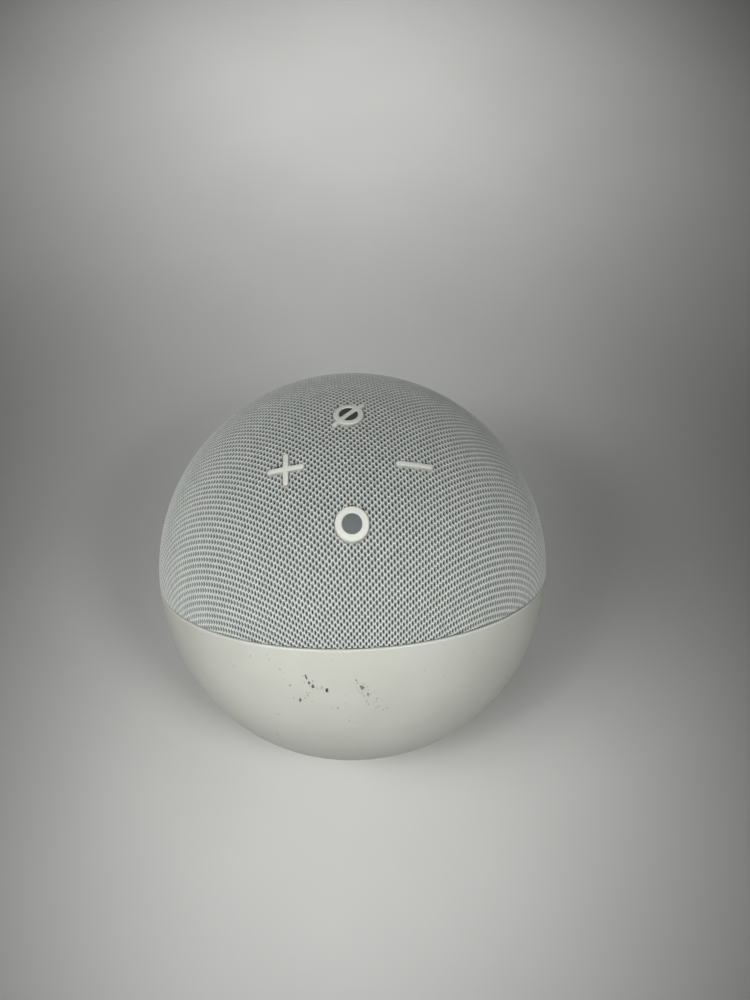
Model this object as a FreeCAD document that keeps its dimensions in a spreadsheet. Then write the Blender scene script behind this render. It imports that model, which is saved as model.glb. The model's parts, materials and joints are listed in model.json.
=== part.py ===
"""Ball-shaped smart speaker, in millimetres.

Frame: the origin is the centre of the foot's resting face, +Z is up, the knit front faces -Y and the
sockets face +Y.  The dome axis is the normal of the seam between the knit dome and the bare housing.
It leans forward from the vertical by seam_tilt.  Pieces of the dome and of the loudspeaker are placed
in the tilted dome frame: x as above, v up the seam plane, w along the dome axis, from the ball centre.
"""
import FreeCAD
import Part
import Sketcher
import math
import os

SIZES = {
    # outside
    "ball_radius": 50.0,
    "ball_lift": 39.0,
    "seam_tilt": 44.0,
    "seam_shift": -1.0,
    "seam_gap": 0.5,
    "fabric_thickness": 0.8,
    "bond_gap": 0.05,
    "dome_wall": 2.0,
    "housing_wall": 2.2,
    "lap_wall": 1.5,
    "lap_depth": 3.0,
    "lap_floor": 8.4,
    "part_gap": 0.2,
    "seam_setback": 0.7,
    "top_bolt_depth": 3.4,
    "post_bore_depth": 10.4,
    # controls
    "button_circle": 14.1,
    "symbol_length": 8.6,
    "symbol_width": 1.2,
    "symbol_proud": 0.55,
    "ring_button_radius": 3.52,
    "dot_radius": 2.1,
    "dot_recess": 0.3,
    "window_depth": 1.2,
    "slash_length": 10.3,
    "button_gap": 0.3,
    "skirt_radius": 5.4,
    "skirt_thickness": 1.0,
    "skirt_gap": 0.4,
    "plunger_radius": 1.2,
    "key_travel": 0.35,
    "switch_gap": 0.15,
    "switch_side": 3.6,
    "switch_tall": 1.2,
    "plunger_length": 0.9,
    "top_board_radius": 21.5,
    "board_thickness": 1.2,
    "top_post_circle": 18.8,
    "top_post_radius": 2.1,
    "microphone_circle": 9.0,
    "capsule_width": 3.0,
    "capsule_depth": 2.2,
    "capsule_tall": 1.0,
    "board_bite": 3.0,
    # base
    "light_ring_low": 0.5,
    "light_ring_top": 2.2,
    "light_pipe_gap": 0.5,
    "light_pipe_wall": 1.8,
    "light_pipe_top": 3.6,
    "pipe_lap": 0.5,
    "led_length": 1.6,
    "led_height": 0.6,
    "led_count": 12,
    "led_board_low": 4.5,
    "base_plate_low": 0.7,
    "base_plate_thickness": 1.7,
    "foot_margin": 1.9,
    "foot_thickness": 1.2,
    "foot_chamfer": 0.4,
    "floor_low": 6.2,
    "floor_thickness": 1.6,
    "floor_post_margin": 5.0,
    "floor_post_radius": 3.0,
    "floor_lip": 1.5,
    "led_board_web": 8.4,
    "floor_post_top": 11.0,
    "pillar_margin": 0.4,
    "well_depth": 1.6,
    "screw_end_gap": 0.8,
    # sockets
    "port_level": 22.6,
    "port_width": 30.0,
    "port_tall": 13.6,
    "port_depth": 4.8,
    "port_wall": 1.6,
    "socket_spread": 7.6,
    "socket_depth": 13.0,
    "socket_side": 7.4,
    "audio_bore_radius": 1.8,
    "audio_nose_radius": 3.2,
    "inlet_bore_radius": 2.8,
    "inlet_nose_radius": 4.1,
    "inlet_pin_radius": 0.85,
    "jack_back_wall": 0.8,
    "inlet_back_wall": 1.5,
    "jack_board_width": 26.0,
    "jack_board_setback": 1.6,
    "stand_spread": 9.5,
    "stand_setback": 5.4,
    "stand_radius": 2.2,
    # loudspeaker
    "baffle_low": 10.0,
    "baffle_thickness": 2.4,
    "baffle_post_radius": 2.6,
    "baffle_relief": 0.3,
    "baffle_bite": 5.0,
    "tub_screw_gap": 0.4,
    "tub_bore": 26.0,
    "tub_wall": 1.8,
    "tub_depth": 22.0,
    "tub_lip": 4.4,
    "edge_margin": 2.4,
    "gasket_thickness": 0.6,
    "frame_thickness": 1.5,
    "frame_land": 5.7,
    "frame_bore": 16.9,
    "frame_screw_margin": 2.2,
    "basket_wall": 1.2,
    "basket_window_width": 9.0,
    "basket_window_reach": 12.0,
    "basket_window_tall": 6.5,
    "motor_top": 0.6,
    "top_plate_thickness": 2.5,
    "magnet_thickness": 5.6,
    "yoke_thickness": 2.2,
    "magnet_radius": 15.0,
    "pole_radius": 5.6,
    "magnet_step": 1.4,
    "plate_margin": 0.6,
    "terminal_stand": 1.0,
    "terminal_lift": 0.6,
    "terminal_thickness": 1.8,
    "terminal_width": 8.0,
    "coil_former_wall": 0.25,
    "coil_winding_wall": 0.35,
    "coil_gap": 0.4,
    "coil_overhang": 1.2,
    "spider_thickness": 0.4,
    "spider_lift": 1.1,
    "cone_travel": 1.5,
    "cone_setback": 0.5,
    "cone_wall": 0.6,
    "cone_neck": 0.84,
    "cap_seat": 1.6,
    "cap_wall": 0.4,
    "former_rise": 1.2,
    "roll_radius": 1.5,
    "roll_wall": 0.5,
    "roll_overlap": 1.25,
    "brim_width": 1.8,
    "cap_rise": 2.0,
    "soft_gap": 0.35,
    # grille
    "hole_radius": 1.7,
    "hole_pitch": 6.4,
    "grille_reach": 38.0,
    "grille_margin": 5.6,
    "control_patch": 24.5,
    # electronics
    "main_board_gap": 5.2,
    "main_board_width": 46.0,
    "main_board_tall": 36.0,
    "main_post_x": 17.0,
    "main_post_v": 14.0,
    "main_post_radius": 2.4,
    "processor_side": 13.0,
    "processor_thickness": 1.1,
    "pad_thickness": 0.5,
    "sink_foot": 1.6,
    "sink_foot_width": 8.0,
    "can_offset": 10.0,
    "can_rise": 2.0,
    "chip_offset": 10.0,
    "chip_spread": 6.0,
    "chip_width": 8.0,
    "chip_tall": 9.0,
    "chip_thickness": 1.0,
    "antenna_setback": 1.1,
    "sink_width": 26.0,
    "sink_tall": 20.0,
    "sink_thickness": 1.6,
    "can_width": 18.0,
    "can_tall": 14.0,
    "can_height": 2.0,
    "antenna_width": 16.0,
    "antenna_tall": 8.0,
    "antenna_thickness": 0.8,
    "antenna_turn": 60.0,
    # screws
    "screw_radius": 0.9,
    "screw_head_radius": 1.7,
    "screw_head": 1.1,
    "screw_fit": 0.05,
}

doc = FreeCAD.newDocument("SmartSpeaker")
NODES = []


def fill_sheet():
    """Write each driving size into the sheet, one row each, under its own alias."""
    sheet = doc.addObject("Spreadsheet::Sheet", "Sizes")
    for row, (alias, number) in enumerate(SIZES.items(), start=1):
        sheet.set(f"A{row}", alias)
        sheet.set(f"B{row}", str(number))
        sheet.setAlias(f"B{row}", alias)
    doc.recompute()
    return sheet


SHEET = fill_sheet()


def cell(text):
    """Turn an expression in plain size names into one that reads the sheet."""
    out = str(text)
    for alias in sorted(SIZES, key=len, reverse=True):
        out = out.replace("@" + alias, "Sizes." + alias)
    return out


def value(text):
    """Work out an expression in millimetres or degrees."""
    return float(SHEET.evalExpression(cell(text)))


# Derived sizes, as expressions over the sheet.
BALL_CENTRE = "(@ball_lift)"
BALL_TOP = "(@ball_lift + @ball_radius)"
DOME_OUTER = "(@ball_radius - @fabric_thickness - @bond_gap)"
DOME_INNER = "(@ball_radius - @fabric_thickness - @bond_gap - @dome_wall)"
HOUSING_INNER = "(@ball_radius - @housing_wall)"
LAP_OUTER = f"({HOUSING_INNER} - @part_gap)"
SEAM_TOP = "(@seam_shift + @seam_gap / 2)"
SEAM_LOW = "(@seam_shift - @seam_gap / 2)"
SKIRT_TOP = (f"({BALL_CENTRE} + sqrt({DOME_INNER}^2 - (@button_circle + @skirt_radius)^2)"
             " - @skirt_gap)")
PLUNGER_END = f"({SKIRT_TOP} - @skirt_thickness - @plunger_length)"
SWITCH_TOP = f"({PLUNGER_END} - @key_travel - @switch_gap)"
TOP_BOARD_TOP = f"({SWITCH_TOP} - @switch_tall)"
TOP_BOARD_LOW = f"({TOP_BOARD_TOP} - @board_thickness)"
HOUSING_LOW = "(@light_ring_top + @part_gap)"
SHELL_MOUTH = f"(sqrt({HOUSING_INNER}^2 - ({BALL_CENTRE} - {HOUSING_LOW})^2))"
PIPE_OUTER = f"({SHELL_MOUTH} - @light_pipe_gap)"
RING_INNER = f"({PIPE_OUTER} - @light_pipe_wall)"
FOOT_RADIUS = f"({RING_INNER} - @foot_margin)"
POST_CIRCLE = f"({FOOT_RADIUS} - @floor_post_margin)"
BASE_PLATE_TOP = "(@base_plate_low + @base_plate_thickness)"
LED_BOARD_TOP = "(@led_board_low + @board_thickness)"
FLOOR_TOP = "(@floor_low + @floor_thickness)"
BAFFLE_TOP = "(@baffle_low + @baffle_thickness)"
GASKET_TOP = f"({BAFFLE_TOP} + @gasket_thickness)"
FRAME_TOP = f"({GASKET_TOP} + @frame_thickness)"
PLATE_LOW = "(@motor_top - @top_plate_thickness)"
MAGNET_LOW = f"({PLATE_LOW} - @magnet_thickness)"
YOKE_LOW = f"({MAGNET_LOW} - @yoke_thickness)"
COIL_BORE = "(@pole_radius + @coil_gap)"
FORMER_OUTER = f"({COIL_BORE} + @coil_former_wall)"
WINDING_OUTER = f"({FORMER_OUTER} + @coil_winding_wall)"
PLATE_BORE = f"({WINDING_OUTER} + @coil_gap)"
MAGNET_BORE = f"({PLATE_BORE} + @magnet_step)"
FOOT_EDGE = "(@magnet_radius - @coil_gap)"
BASKET_TOP = "(@motor_top + @basket_wall)"
SPIDER_LOW = f"({BASKET_TOP} + @spider_lift)"
CONE_LOW = f"({SPIDER_LOW} + @spider_thickness + @cone_travel + 3 * @part_gap)"
CONE_TOP = f"({FRAME_TOP} - @cone_setback)"
ROLL_INNER = "(@frame_bore - @basket_wall - 2 * @roll_radius + @roll_overlap)"
CONE_RADIUS = f"({ROLL_INNER} - @soft_gap)"
FRAME_SCREW_CIRCLE = "(@frame_bore + @frame_land - @frame_screw_margin)"
FRAME_RADIUS = "(@frame_bore + @frame_land)"
BAFFLE_BORE = "(@frame_bore + @baffle_relief)"
TUB_OUTER = "(@tub_bore + @tub_wall)"
TUB_FLANGE = f"({TUB_OUTER} + @tub_lip)"
TUB_SCREW_CIRCLE = f"({TUB_OUTER} + @tub_lip / 2)"
BAFFLE_POST_CIRCLE = f"({TUB_FLANGE} + @edge_margin)"
BAFFLE_RADIUS = f"({BAFFLE_POST_CIRCLE} + @edge_margin + @part_gap * 3)"
TUB_FLOOR = "(@baffle_low - @tub_depth)"
TUB_LOW = f"({TUB_FLOOR} - @tub_wall)"
BOARD_TOP = f"({TUB_LOW} - @main_board_gap)"
BOARD_LOW = f"({BOARD_TOP} - @board_thickness)"
PORT_FLOOR = (f"(sqrt(@ball_radius^2 - ({BALL_CENTRE} - @port_level)^2) - @port_depth)")
SOCKET_FRONT = f"({PORT_FLOOR} - @port_wall - @part_gap)"
SOCKET_BACK = f"({SOCKET_FRONT} - @socket_depth)"
JACK_BOARD_TOP = "(@port_level - @socket_side / 2)"
JACK_BOARD_LOW = f"({JACK_BOARD_TOP} - @board_thickness)"
FAR = "(2 * @ball_radius)"


def bind(obj, **sizes):
    """Bind each property of an object to an expression over the sheet."""
    for name, text in sizes.items():
        obj.setExpression(name, cell(text))
    return obj


def put(obj, x="0", y="0", z="0"):
    """Bind an object's place in the row frame."""
    for axis, text in (("x", x), ("y", y), ("z", z)):
        obj.setExpression("Placement.Base." + axis, cell(text))
    return obj


def lean(obj, x="0", v="0", w="0"):
    """Place an object in the tilted dome frame, with its own Z along the dome axis."""
    turn = FreeCAD.Rotation(FreeCAD.Vector(1, 0, 0), SIZES["seam_tilt"])
    obj.Placement = FreeCAD.Placement(FreeCAD.Vector(), turn)
    obj.setExpression("Placement.Rotation.Angle", cell("@seam_tilt"))
    put(obj, x,
        f"({v}) * cos(@seam_tilt) - ({w}) * sin(@seam_tilt)",
        f"{BALL_CENTRE} + ({v}) * sin(@seam_tilt) + ({w}) * cos(@seam_tilt)")
    return obj


def face_back(obj):
    """Turn an object so that its own Z points to +Y."""
    turn = FreeCAD.Rotation(FreeCAD.Vector(1, 0, 0), -90)
    obj.Placement = FreeCAD.Placement(FreeCAD.Vector(), turn)
    return obj


def rod(radius, height):
    """A solid round rod that stands on its own XY plane."""
    return bind(doc.addObject("Part::Cylinder", "rod"), Radius=radius, Height=height)


def block(width, depth, height):
    """A block with one corner at its own origin."""
    return bind(doc.addObject("Part::Box", "block"), Length=width, Width=depth, Height=height)


def slab(x, y, z, width, depth, height):
    """A block centred on x and y, with its bottom at z."""
    return put(block(width, depth, height), f"{x} - ({width}) / 2", f"{y} - ({depth}) / 2", z)


def ball(radius):
    """A full ball about the ball centre."""
    return put(bind(doc.addObject("Part::Sphere", "ball"), Radius=radius), z=BALL_CENTRE)


def cut(base, tool):
    """The base less the tool."""
    obj = doc.addObject("Part::Cut", "cut")
    obj.Base = base
    obj.Tool = tool
    return obj


def common(first, second):
    """What two shapes share."""
    obj = doc.addObject("Part::Common", "common")
    obj.Base = first
    obj.Tool = second
    return obj


def join(*shapes):
    """One solid made of several that meet."""
    obj = doc.addObject("Part::MultiFuse", "join")
    obj.Shapes = list(shapes)
    return obj


def group(shapes):
    """Several separate solids in one node."""
    obj = doc.addObject("Part::Compound", "group")
    obj.Links = list(shapes)
    return obj


def node(label, obj):
    """Name a finished sub-part, which is written to its own file."""
    obj.Label = label
    NODES.append(obj)
    return obj


def turned(name, outline):
    """A body turned about its own Z from a closed outline of (radius, height) corners."""
    body = doc.addObject("PartDesign::Body", name)
    sketch = body.newObject("Sketcher::SketchObject", name + "_outline")
    plane = [f for f in body.Origin.OriginFeatures if f.Role == "XZ_Plane"][0]
    sketch.AttachmentSupport = [(plane, "")]
    sketch.MapMode = "FlatFace"
    corners = [(value(radius), value(height)) for radius, height in outline]
    total = len(corners)
    for i, (start, end) in enumerate(zip(corners, corners[1:] + corners[:1])):
        line = Part.LineSegment(FreeCAD.Vector(*start, 0), FreeCAD.Vector(*end, 0))
        sketch.addGeometry(line, False)
    for i in range(total):
        sketch.addConstraint(Sketcher.Constraint("Coincident", i, 2, (i + 1) % total, 1))
    for i, (radius, height) in enumerate(outline):
        for kind, text, number in (("DistanceX", radius, corners[i][0]),
                                   ("DistanceY", height, corners[i][1])):
            if text == "0":
                axis_line = -2 if kind == "DistanceX" else -1
                sketch.addConstraint(Sketcher.Constraint("PointOnObject", i, 1, axis_line))
                continue
            index = sketch.addConstraint(Sketcher.Constraint(kind, -1, 1, i, 1, number))
            sketch.setExpression(f"Constraints[{index}]", cell(text))
    turn = body.newObject("PartDesign::Revolution", name + "_turn")
    turn.Profile = sketch
    turn.ReferenceAxis = (sketch, ["V_Axis"])
    turn.Angle = 360
    return body


def ring(name, inner, outer, low, high):
    """A flat ring, or a disc where inner is 0, as a turned body."""
    return turned(name, [(inner, low), (outer, low), (outer, high), (inner, high)])


def dome_side(level):
    """The half space on the dome's side of a plane at this height along the dome axis."""
    return lean(rod(FAR, FAR), w=level)


def housing_side(level):
    """The half space on the housing's side of a plane at this height along the dome axis."""
    return lean(rod(FAR, FAR), w=f"{level} - {FAR}")


def above_base(shape):
    """What of a shape stays clear above the light ring, whatever the seam's reach."""
    return common(shape, put(rod(FAR, FAR), z=f"{HOUSING_LOW} + @part_gap"))


def screw(length, z, head_up):
    """A pan-head screw about Z, whose head seats at z and whose shank runs away from the head."""
    head_low = z if head_up else f"({z}) - @screw_head"
    shank_low = f"({z}) - ({length})" if head_up else z
    head = put(rod("@screw_head_radius", "@screw_head"), z=head_low)
    shank = put(rod("@screw_radius", length), z=shank_low)
    return join(head, shank)


def spots(radius, angles):
    """Points on a circle, as pairs of expressions."""
    return [(f"({radius}) * cos({a})", f"({radius}) * sin({a})") for a in angles]


# ---------------------------------------------------------------- control symbols

BUTTONS = {"plus": 0, "minus": 180, "action": 90, "mute": 270}


def pill(length, width, low, high, angle):
    """An upright bar with round ends, turned about Z, on the Z axis."""
    reach = f"(({length}) - ({width})) / 2"
    bar = slab("0", "0", low, f"({length}) - ({width})", width, f"({high}) - ({low})")
    ends = [put(rod(f"({width}) / 2", f"({high}) - ({low})"), x=f"{side} * {reach}", z=low)
            for side in (-1, 1)]
    shape = join(bar, *ends)
    turn = FreeCAD.Rotation(FreeCAD.Vector(0, 0, 1), angle)
    shape.Placement = FreeCAD.Placement(FreeCAD.Vector(), turn)
    return shape


def symbol(which, grow, low, high):
    """The upright prism of one control symbol, grown by a clearance all round, on the Z axis."""
    length = f"(@symbol_length + 2 * {grow})"
    width = f"(@symbol_width + 2 * {grow})"
    if which == "minus":
        return pill(length, width, low, high, 0)
    if which == "plus":
        return join(pill(length, width, low, high, 0), pill(length, width, low, high, 90))
    disc = put(rod(f"@ring_button_radius + {grow}", f"({high}) - ({low})"), z=low)
    if which == "action":
        return disc
    return join(disc, pill(f"(@slash_length + 2 * {grow})", width, low, high, 45))


def button_place(obj, which):
    """Move an object from the Z axis to its button's place on the circle."""
    x, y = spots("@button_circle", [BUTTONS[which]])[0]
    return put(group([obj]), x, y)


def button_holes(low, high):
    """The symbol-shaped holes that the four buttons rise through."""
    return [button_place(symbol(which, "@button_gap", low, high), which) for which in BUTTONS]


def button_blank(which):
    """A symbol on its round skirt with the plunger below, topped by the ball's own curve."""
    prism = symbol(which, "0", f"{SKIRT_TOP} - @skirt_thickness / 2", f"{BALL_TOP} + @symbol_proud")
    skirt = put(rod("@skirt_radius", "@skirt_thickness"), z=f"{SKIRT_TOP} - @skirt_thickness")
    plunger = put(rod("@plunger_radius", "@plunger_length + @skirt_thickness / 2"), z=PLUNGER_END)
    placed = button_place(join(prism, skirt, plunger), which)
    return common(placed, ball("@ball_radius + @symbol_proud"))


def buttons():
    """The four controls; the ring ones are hollowed for an inlaid dot or window."""
    node("plus_button", button_blank("plus"))
    node("minus_button", button_blank("minus"))
    pocket_low = f"({BALL_CENTRE} + sqrt(@ball_radius^2 - @button_circle^2) - @window_depth - 1)"
    seat = "(@dot_radius + @bond_gap)"
    pocket = button_place(put(rod(seat, FAR), z=pocket_low), "action")
    node("action_button", cut(button_blank("action"), pocket))
    dot = button_place(put(rod("@dot_radius", FAR), z=f"{pocket_low} + @bond_gap"), "action")
    node("action_button_dot", common(dot, ball("@ball_radius + @symbol_proud - @dot_recess")))
    bore = put(rod(seat, FAR), z=pocket_low)
    slash = pill("@slash_length", "@symbol_width", f"{pocket_low} - 1", f"{FAR} * 2", 45)
    node("mute_button", cut(button_blank("mute"), button_place(cut(bore, slash), "mute")))
    pane = put(rod("@dot_radius", FAR), z=f"{pocket_low} + @bond_gap")
    wide = pill("@slash_length", "(@symbol_width + 2 * @bond_gap)", f"{pocket_low} - 1",
                f"{FAR} * 2", 45)
    glass = button_place(cut(pane, wide), "mute")
    node("mute_button_window", common(glass, ball("@ball_radius + @symbol_proud - @dot_recess")))


# ---------------------------------------------------------------- dome side

POST_ANGLES = (0, 180, 235, 305)
TOP_POST_ANGLES = (45, 135, 225, 315)


def fabric_cover():
    """The knit skin, a thin shell over the dome that ends at the seam."""
    shell = cut(ball("@ball_radius"), ball("@ball_radius - @fabric_thickness"))
    half = above_base(common(shell, dome_side(SEAM_TOP)))
    return node("fabric_cover", cut(half, group(button_holes(SKIRT_TOP, f"{BALL_TOP} + 1"))))


def grille_spots():
    """Places of the sound holes, a hexagonal net that leaves the posts and the controls alone."""
    pitch = value("@hole_pitch")
    reach = value("@grille_reach")
    outer = value(DOME_OUTER)
    tilt = math.radians(value("@seam_tilt"))
    posts = [(value(BAFFLE_POST_CIRCLE) * math.cos(math.radians(a)),
              value(BAFFLE_POST_CIRCLE) * math.sin(math.radians(a))) for a in POST_ANGLES]
    rows = int(reach / pitch / math.sin(math.radians(60)))
    columns = int(reach / pitch)
    found = []
    for j in range(-rows, rows + 1):
        for i in range(-columns, columns + 1):
            along = i + (j % 2) / 2
            up = j * math.sin(math.radians(60))
            x = along * pitch
            v = up * pitch
            if math.hypot(x, v) > reach:
                continue
            rise = math.sqrt(outer ** 2 - x ** 2 - v ** 2)
            lift = (v * math.sin(tilt) + rise * math.cos(tilt)) / outer
            near_controls = math.degrees(math.acos(lift)) < value("@control_patch") + 2
            near_post = any(math.hypot(x - a, v - b) < value("@grille_margin") for a, b in posts)
            if not near_controls and not near_post:
                found.append((along, up))
    return found


def grille_dome():
    """The stiff dome under the knit: sound holes, a lap into the housing and two sets of posts."""
    shell = common(cut(ball(DOME_OUTER), ball(DOME_INNER)), dome_side(SEAM_TOP))
    shell = common(shell, put(rod(FAR, FAR), z="@light_pipe_top + @part_gap"))
    lap_shell = cut(ball(LAP_OUTER), ball(f"{LAP_OUTER} - @lap_wall"))
    lap_band = common(lap_shell, dome_side(f"{SEAM_TOP} - @lap_depth"))
    lap = common(lap_band, housing_side(f"{SEAM_TOP} + 2 * @lap_wall"))
    above_floor = put(rod(FAR, FAR), z="@lap_floor")
    lap = common(lap, above_floor)
    posts = [lean(rod("@baffle_post_radius", FAR), x, v, BAFFLE_TOP)
             for x, v in spots(BAFFLE_POST_CIRCLE, POST_ANGLES)]
    posts += [put(rod("@top_post_radius", FAR), x, y, TOP_BOARD_TOP)
              for x, y in spots("@top_post_circle", TOP_POST_ANGLES)]
    trimmed = [common(post, ball(f"{DOME_INNER} + @dome_wall / 2")) for post in posts]
    body = join(shell, lap, *trimmed)
    holes = [lean(rod("@hole_radius", FAR), f"{x} * @hole_pitch", f"{v} * @hole_pitch", SEAM_TOP)
             for x, v in grille_spots()]
    bolts = [lean(rod("@screw_radius + @screw_fit", "@post_bore_depth"), x, v, BAFFLE_TOP)
             for x, v in spots(BAFFLE_POST_CIRCLE, POST_ANGLES)]
    bolts += [put(rod("@screw_radius + @screw_fit", "@top_bolt_depth"), x, y, TOP_BOARD_TOP)
              for x, y in spots("@top_post_circle", TOP_POST_ANGLES)]
    tools = holes + bolts + button_holes(SKIRT_TOP, f"{BALL_TOP} + 1")
    return node("grille_dome", cut(body, group(tools)))


def seam_gasket():
    """A dark foam ring in the seam, set back from the surface."""
    low = f"{SEAM_LOW} + @bond_gap"
    high = f"{SEAM_TOP} - @bond_gap"
    outer = "@ball_radius - @seam_setback"
    shape = ring("seam_gasket_body", f"{LAP_OUTER} + @part_gap / 2", outer, low, high)
    return node("seam_gasket", above_base(lean(shape)))


# ---------------------------------------------------------------- housing

def port_pill(grow, low, high):
    """A pill-shaped prism along Y about the sockets' level."""
    shape = pill(f"(@port_width + 2 * {grow})", f"(@port_tall + 2 * {grow})", low, high, 0)
    holder = group([shape])
    face_back(holder)
    return put(holder, z="@port_level")


def around_port():
    """Blocks that share out what lies round the port, so that no share bends round its mouth."""
    end = "(@port_width / 2 - @port_tall / 2)"
    rim = "(@port_width / 2 + @port_wall)"
    half = "@port_tall / 2"
    edge = f"({half} + @port_wall)"
    shares = [slab("0", f"{FAR} / 2", f"@port_level + {half}", f"2 * {end}", FAR, "@port_wall"),
              slab("0", f"{FAR} / 2", f"@port_level - {edge}", f"2 * {end}", FAR, "@port_wall")]
    for side in (-1, 1):
        for low in ("@port_level", f"@port_level - {edge}"):
            shares.append(slab(f"{side} * ({end} + {rim}) / 2", f"{FAR} / 2", low,
                               f"{rim} - {end}", FAR, edge))
    return shares


def beyond_port():
    """Blocks that share out the rest of the shell: two sides, the front, above and below the port."""
    rim = "(@port_width / 2 + @port_wall)"
    edge = "(@port_tall / 2 + @port_wall)"
    sides = [slab(f"{side} * ({rim} + {FAR} / 2)", "0", "0", FAR, f"2 * {FAR}", FAR) for side in (-1, 1)]
    front = slab("0", f"-{FAR} / 2", "0", f"2 * {rim}", FAR, FAR)
    above = slab("0", f"{FAR} / 2", f"@port_level + {edge}", f"2 * {rim}", FAR, FAR)
    below = slab("0", f"{FAR} / 2", "0", f"2 * {rim}", FAR, f"@port_level - {edge}")
    return sides + [front, above, below]


def shared_out(build, shares):
    """The same shape built once for each share and kept only within it."""
    return group([common(build(), share) for share in shares])


def housing_shell():
    """The bare rear shell with the mouth of the socket recess."""
    shell = cut(ball("@ball_radius"), ball(HOUSING_INNER))
    shell = common(common(shell, housing_side(SEAM_LOW)), put(rod(FAR, FAR), z=HOUSING_LOW))
    return cut(shell, port_pill("0", PORT_FLOOR, FAR))


def rear_housing():
    """The moulded rear shell in shares: its main faces, and the surround of the port."""
    node("rear_housing", shared_out(housing_shell, beyond_port()))
    node("port_surround", shared_out(housing_shell, around_port()))


def housing_floor():
    """The floor ring bonded in the shell, with its screw posts and the jack board's stands."""
    floor = put(rod(FAR, "@floor_thickness"), z="@floor_low")
    floor = cut(floor, put(rod(f"{POST_CIRCLE} - @floor_post_radius - @floor_lip", FAR), z="0"))
    posts = [put(rod("@floor_post_radius", f"@floor_post_top - {LED_BOARD_TOP}"), x, y, LED_BOARD_TOP)
             for x, y in spots(POST_CIRCLE, TOP_POST_ANGLES)]
    stands = [put(rod("@stand_radius", f"{JACK_BOARD_LOW} - @floor_low"), f"{side} * @stand_spread",
                  f"{SOCKET_BACK} + @stand_setback", "@floor_low")
              for side in (-1, 1)]
    inside = common(join(floor, *posts, *stands), ball(f"{HOUSING_INNER} - @bond_gap"))
    inside = common(inside, housing_side(f"{SEAM_TOP} - @lap_depth - @part_gap"))
    bores = [put(rod("@screw_radius + @screw_fit", "@floor_post_top - @screw_radius / 2"), x, y, "0")
             for x, y in spots(POST_CIRCLE, TOP_POST_ANGLES)]
    return node("housing_floor", cut(inside, group(bores)))


def tray_wall():
    """The recess's inner wall, from the tray's floor to the shell."""
    sleeve = cut(port_pill("@port_wall", PORT_FLOOR, FAR), port_pill("0", "0", f"2 * {FAR}"))
    return common(sleeve, ball(f"{HOUSING_INNER} - @bond_gap"))


def socket_tray():
    """The tray behind the shell's mouth: a flat floor with the noses' holes, and its wall in shares."""
    plate = port_pill("@port_wall", f"{PORT_FLOOR} - @port_wall", PORT_FLOOR)
    plate = common(plate, ball(f"{HOUSING_INNER} - @bond_gap"))
    holes = [put(face_back(rod(f"{radius} + @part_gap", FAR)), f"{side} * @socket_spread", "0",
                 "@port_level")
             for side, radius in ((1, "@audio_nose_radius"), (-1, "@inlet_nose_radius"))]
    node("socket_tray", cut(plate, group(holes)))
    node("tray_wall", shared_out(tray_wall, around_port()))


def base_pieces():
    """The light ring, the base plate in it, the rubber foot, the LED board and its screws."""
    wedge = cut(ball("@ball_radius"), put(rod(RING_INNER, FAR), z="0"))
    band = common(wedge, put(rod(FAR, "@light_ring_top - @light_ring_low"), z="@light_ring_low"))
    pipe = ring("light_pipe", RING_INNER, PIPE_OUTER, "@light_ring_low + @pipe_lap",
                "@light_pipe_top")
    node("light_ring", join(band, pipe))

    plate_edge = f"{RING_INNER} - @part_gap"
    plate = ring("base_disc", "0", plate_edge, "@base_plate_low", BASE_PLATE_TOP)
    pillars = [put(rod("@floor_post_radius + @pillar_margin", "@led_board_low - @base_plate_low"), x, y,
                   "@base_plate_low") for x, y in spots(POST_CIRCLE, TOP_POST_ANGLES)]
    seat = put(rod(f"{FOOT_RADIUS} + @part_gap", "@foot_thickness"), z="0")
    wells = [put(rod("@screw_head_radius + @part_gap", "@well_depth"), x, y, "@foot_thickness")
             for x, y in spots(POST_CIRCLE, TOP_POST_ANGLES)]
    bores = [put(rod("@screw_radius + @part_gap", FAR), x, y, "0")
             for x, y in spots(POST_CIRCLE, TOP_POST_ANGLES)]
    node("base_plate", cut(join(plate, *pillars), group([seat] + wells + bores)))

    edge = f"{FOOT_RADIUS} - @foot_chamfer"
    outline = [("0", "0"), (edge, "0"), (FOOT_RADIUS, "@foot_chamfer"),
               (FOOT_RADIUS, "@foot_thickness"), ("0", "@foot_thickness")]
    node("foot_pad", turned("foot_pad_body", outline))

    board = ring("led_disc", f"{POST_CIRCLE} - @led_board_web", PIPE_OUTER, "@led_board_low",
                 LED_BOARD_TOP)
    bores = [put(rod("@screw_radius + @part_gap", FAR), x, y, "0")
             for x, y in spots(POST_CIRCLE, TOP_POST_ANGLES)]
    node("led_board", cut(board, group(bores)))

    middle = f"({RING_INNER} + {PIPE_OUTER}) / 2 - @part_gap / 2"
    count = int(SIZES["led_count"])
    lamps = [slab(x, y, "@led_board_low - @led_height", "@led_length", "@led_length",
                  "@led_height")
             for x, y in spots(middle, [360 / count * i for i in range(count)])]
    node("leds", group(lamps))

    seat_level = "(@foot_thickness + @well_depth)"
    screws = [put(screw(f"@floor_post_top - {seat_level} - @screw_end_gap", "0", False), x, y, seat_level)
              for x, y in spots(POST_CIRCLE, TOP_POST_ANGLES)]
    node("base_screws", group(screws))


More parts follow.
